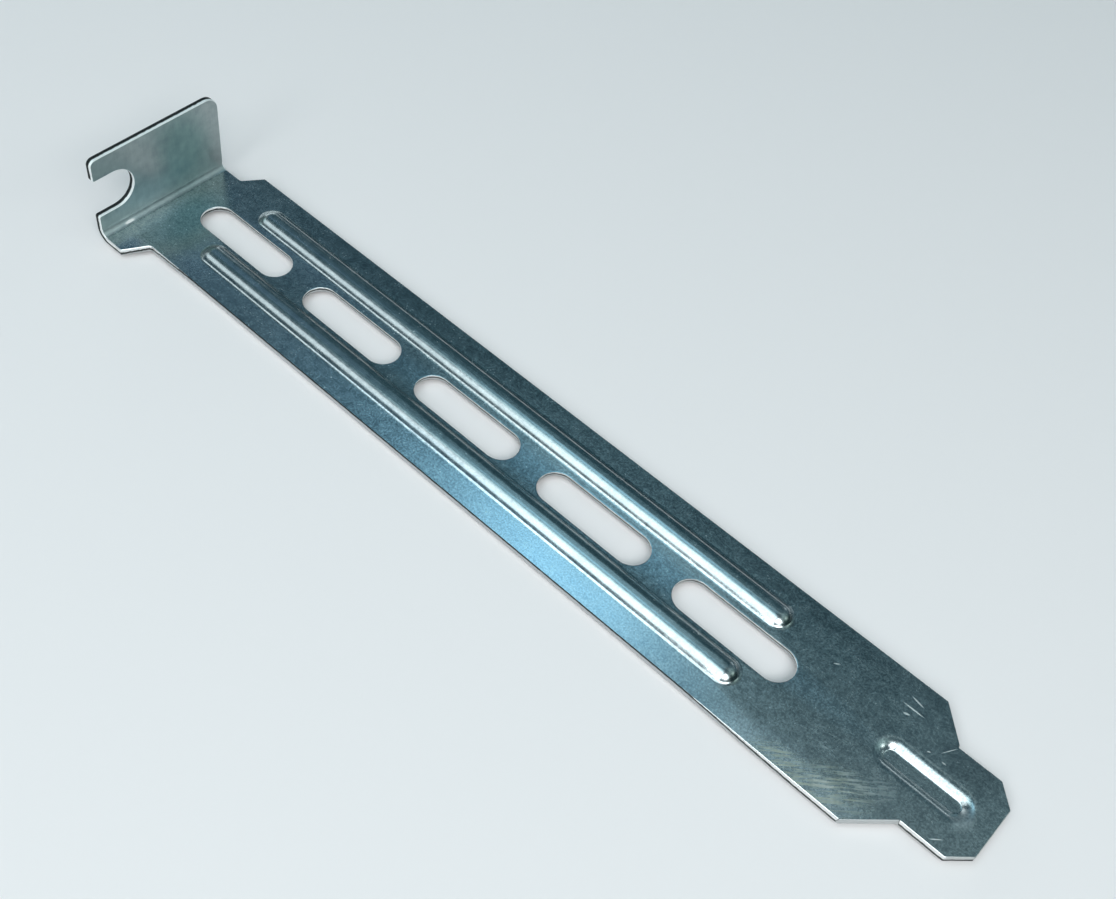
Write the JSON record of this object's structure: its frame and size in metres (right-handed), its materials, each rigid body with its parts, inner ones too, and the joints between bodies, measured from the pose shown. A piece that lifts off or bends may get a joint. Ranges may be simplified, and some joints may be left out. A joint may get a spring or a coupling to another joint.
{
  "type": "expansion slot bracket",
  "caption": "Full height vented slot bracket folded from one steel strip, with a notched screw tab, raised stiffening ribs, a row of long vent slots and a beaded tongue.",
  "frame": {"origin": "midway along and across the bracket, at the height of the back of the tongue's bead, which is its lowest point as it lies on its inner face", "axes": "+X along the blade towards the tongue, +Z out of the blade's outer face, the way the screw tab stands"},
  "size_m": [0.12, 0.0216, 0.0129],
  "materials": {
    "plated_steel": "zinc plate, satin, with light scratches"
  },
  "bodies": {
    "root": {"bracket": "plated_steel"}
  },
  "joints": []
}
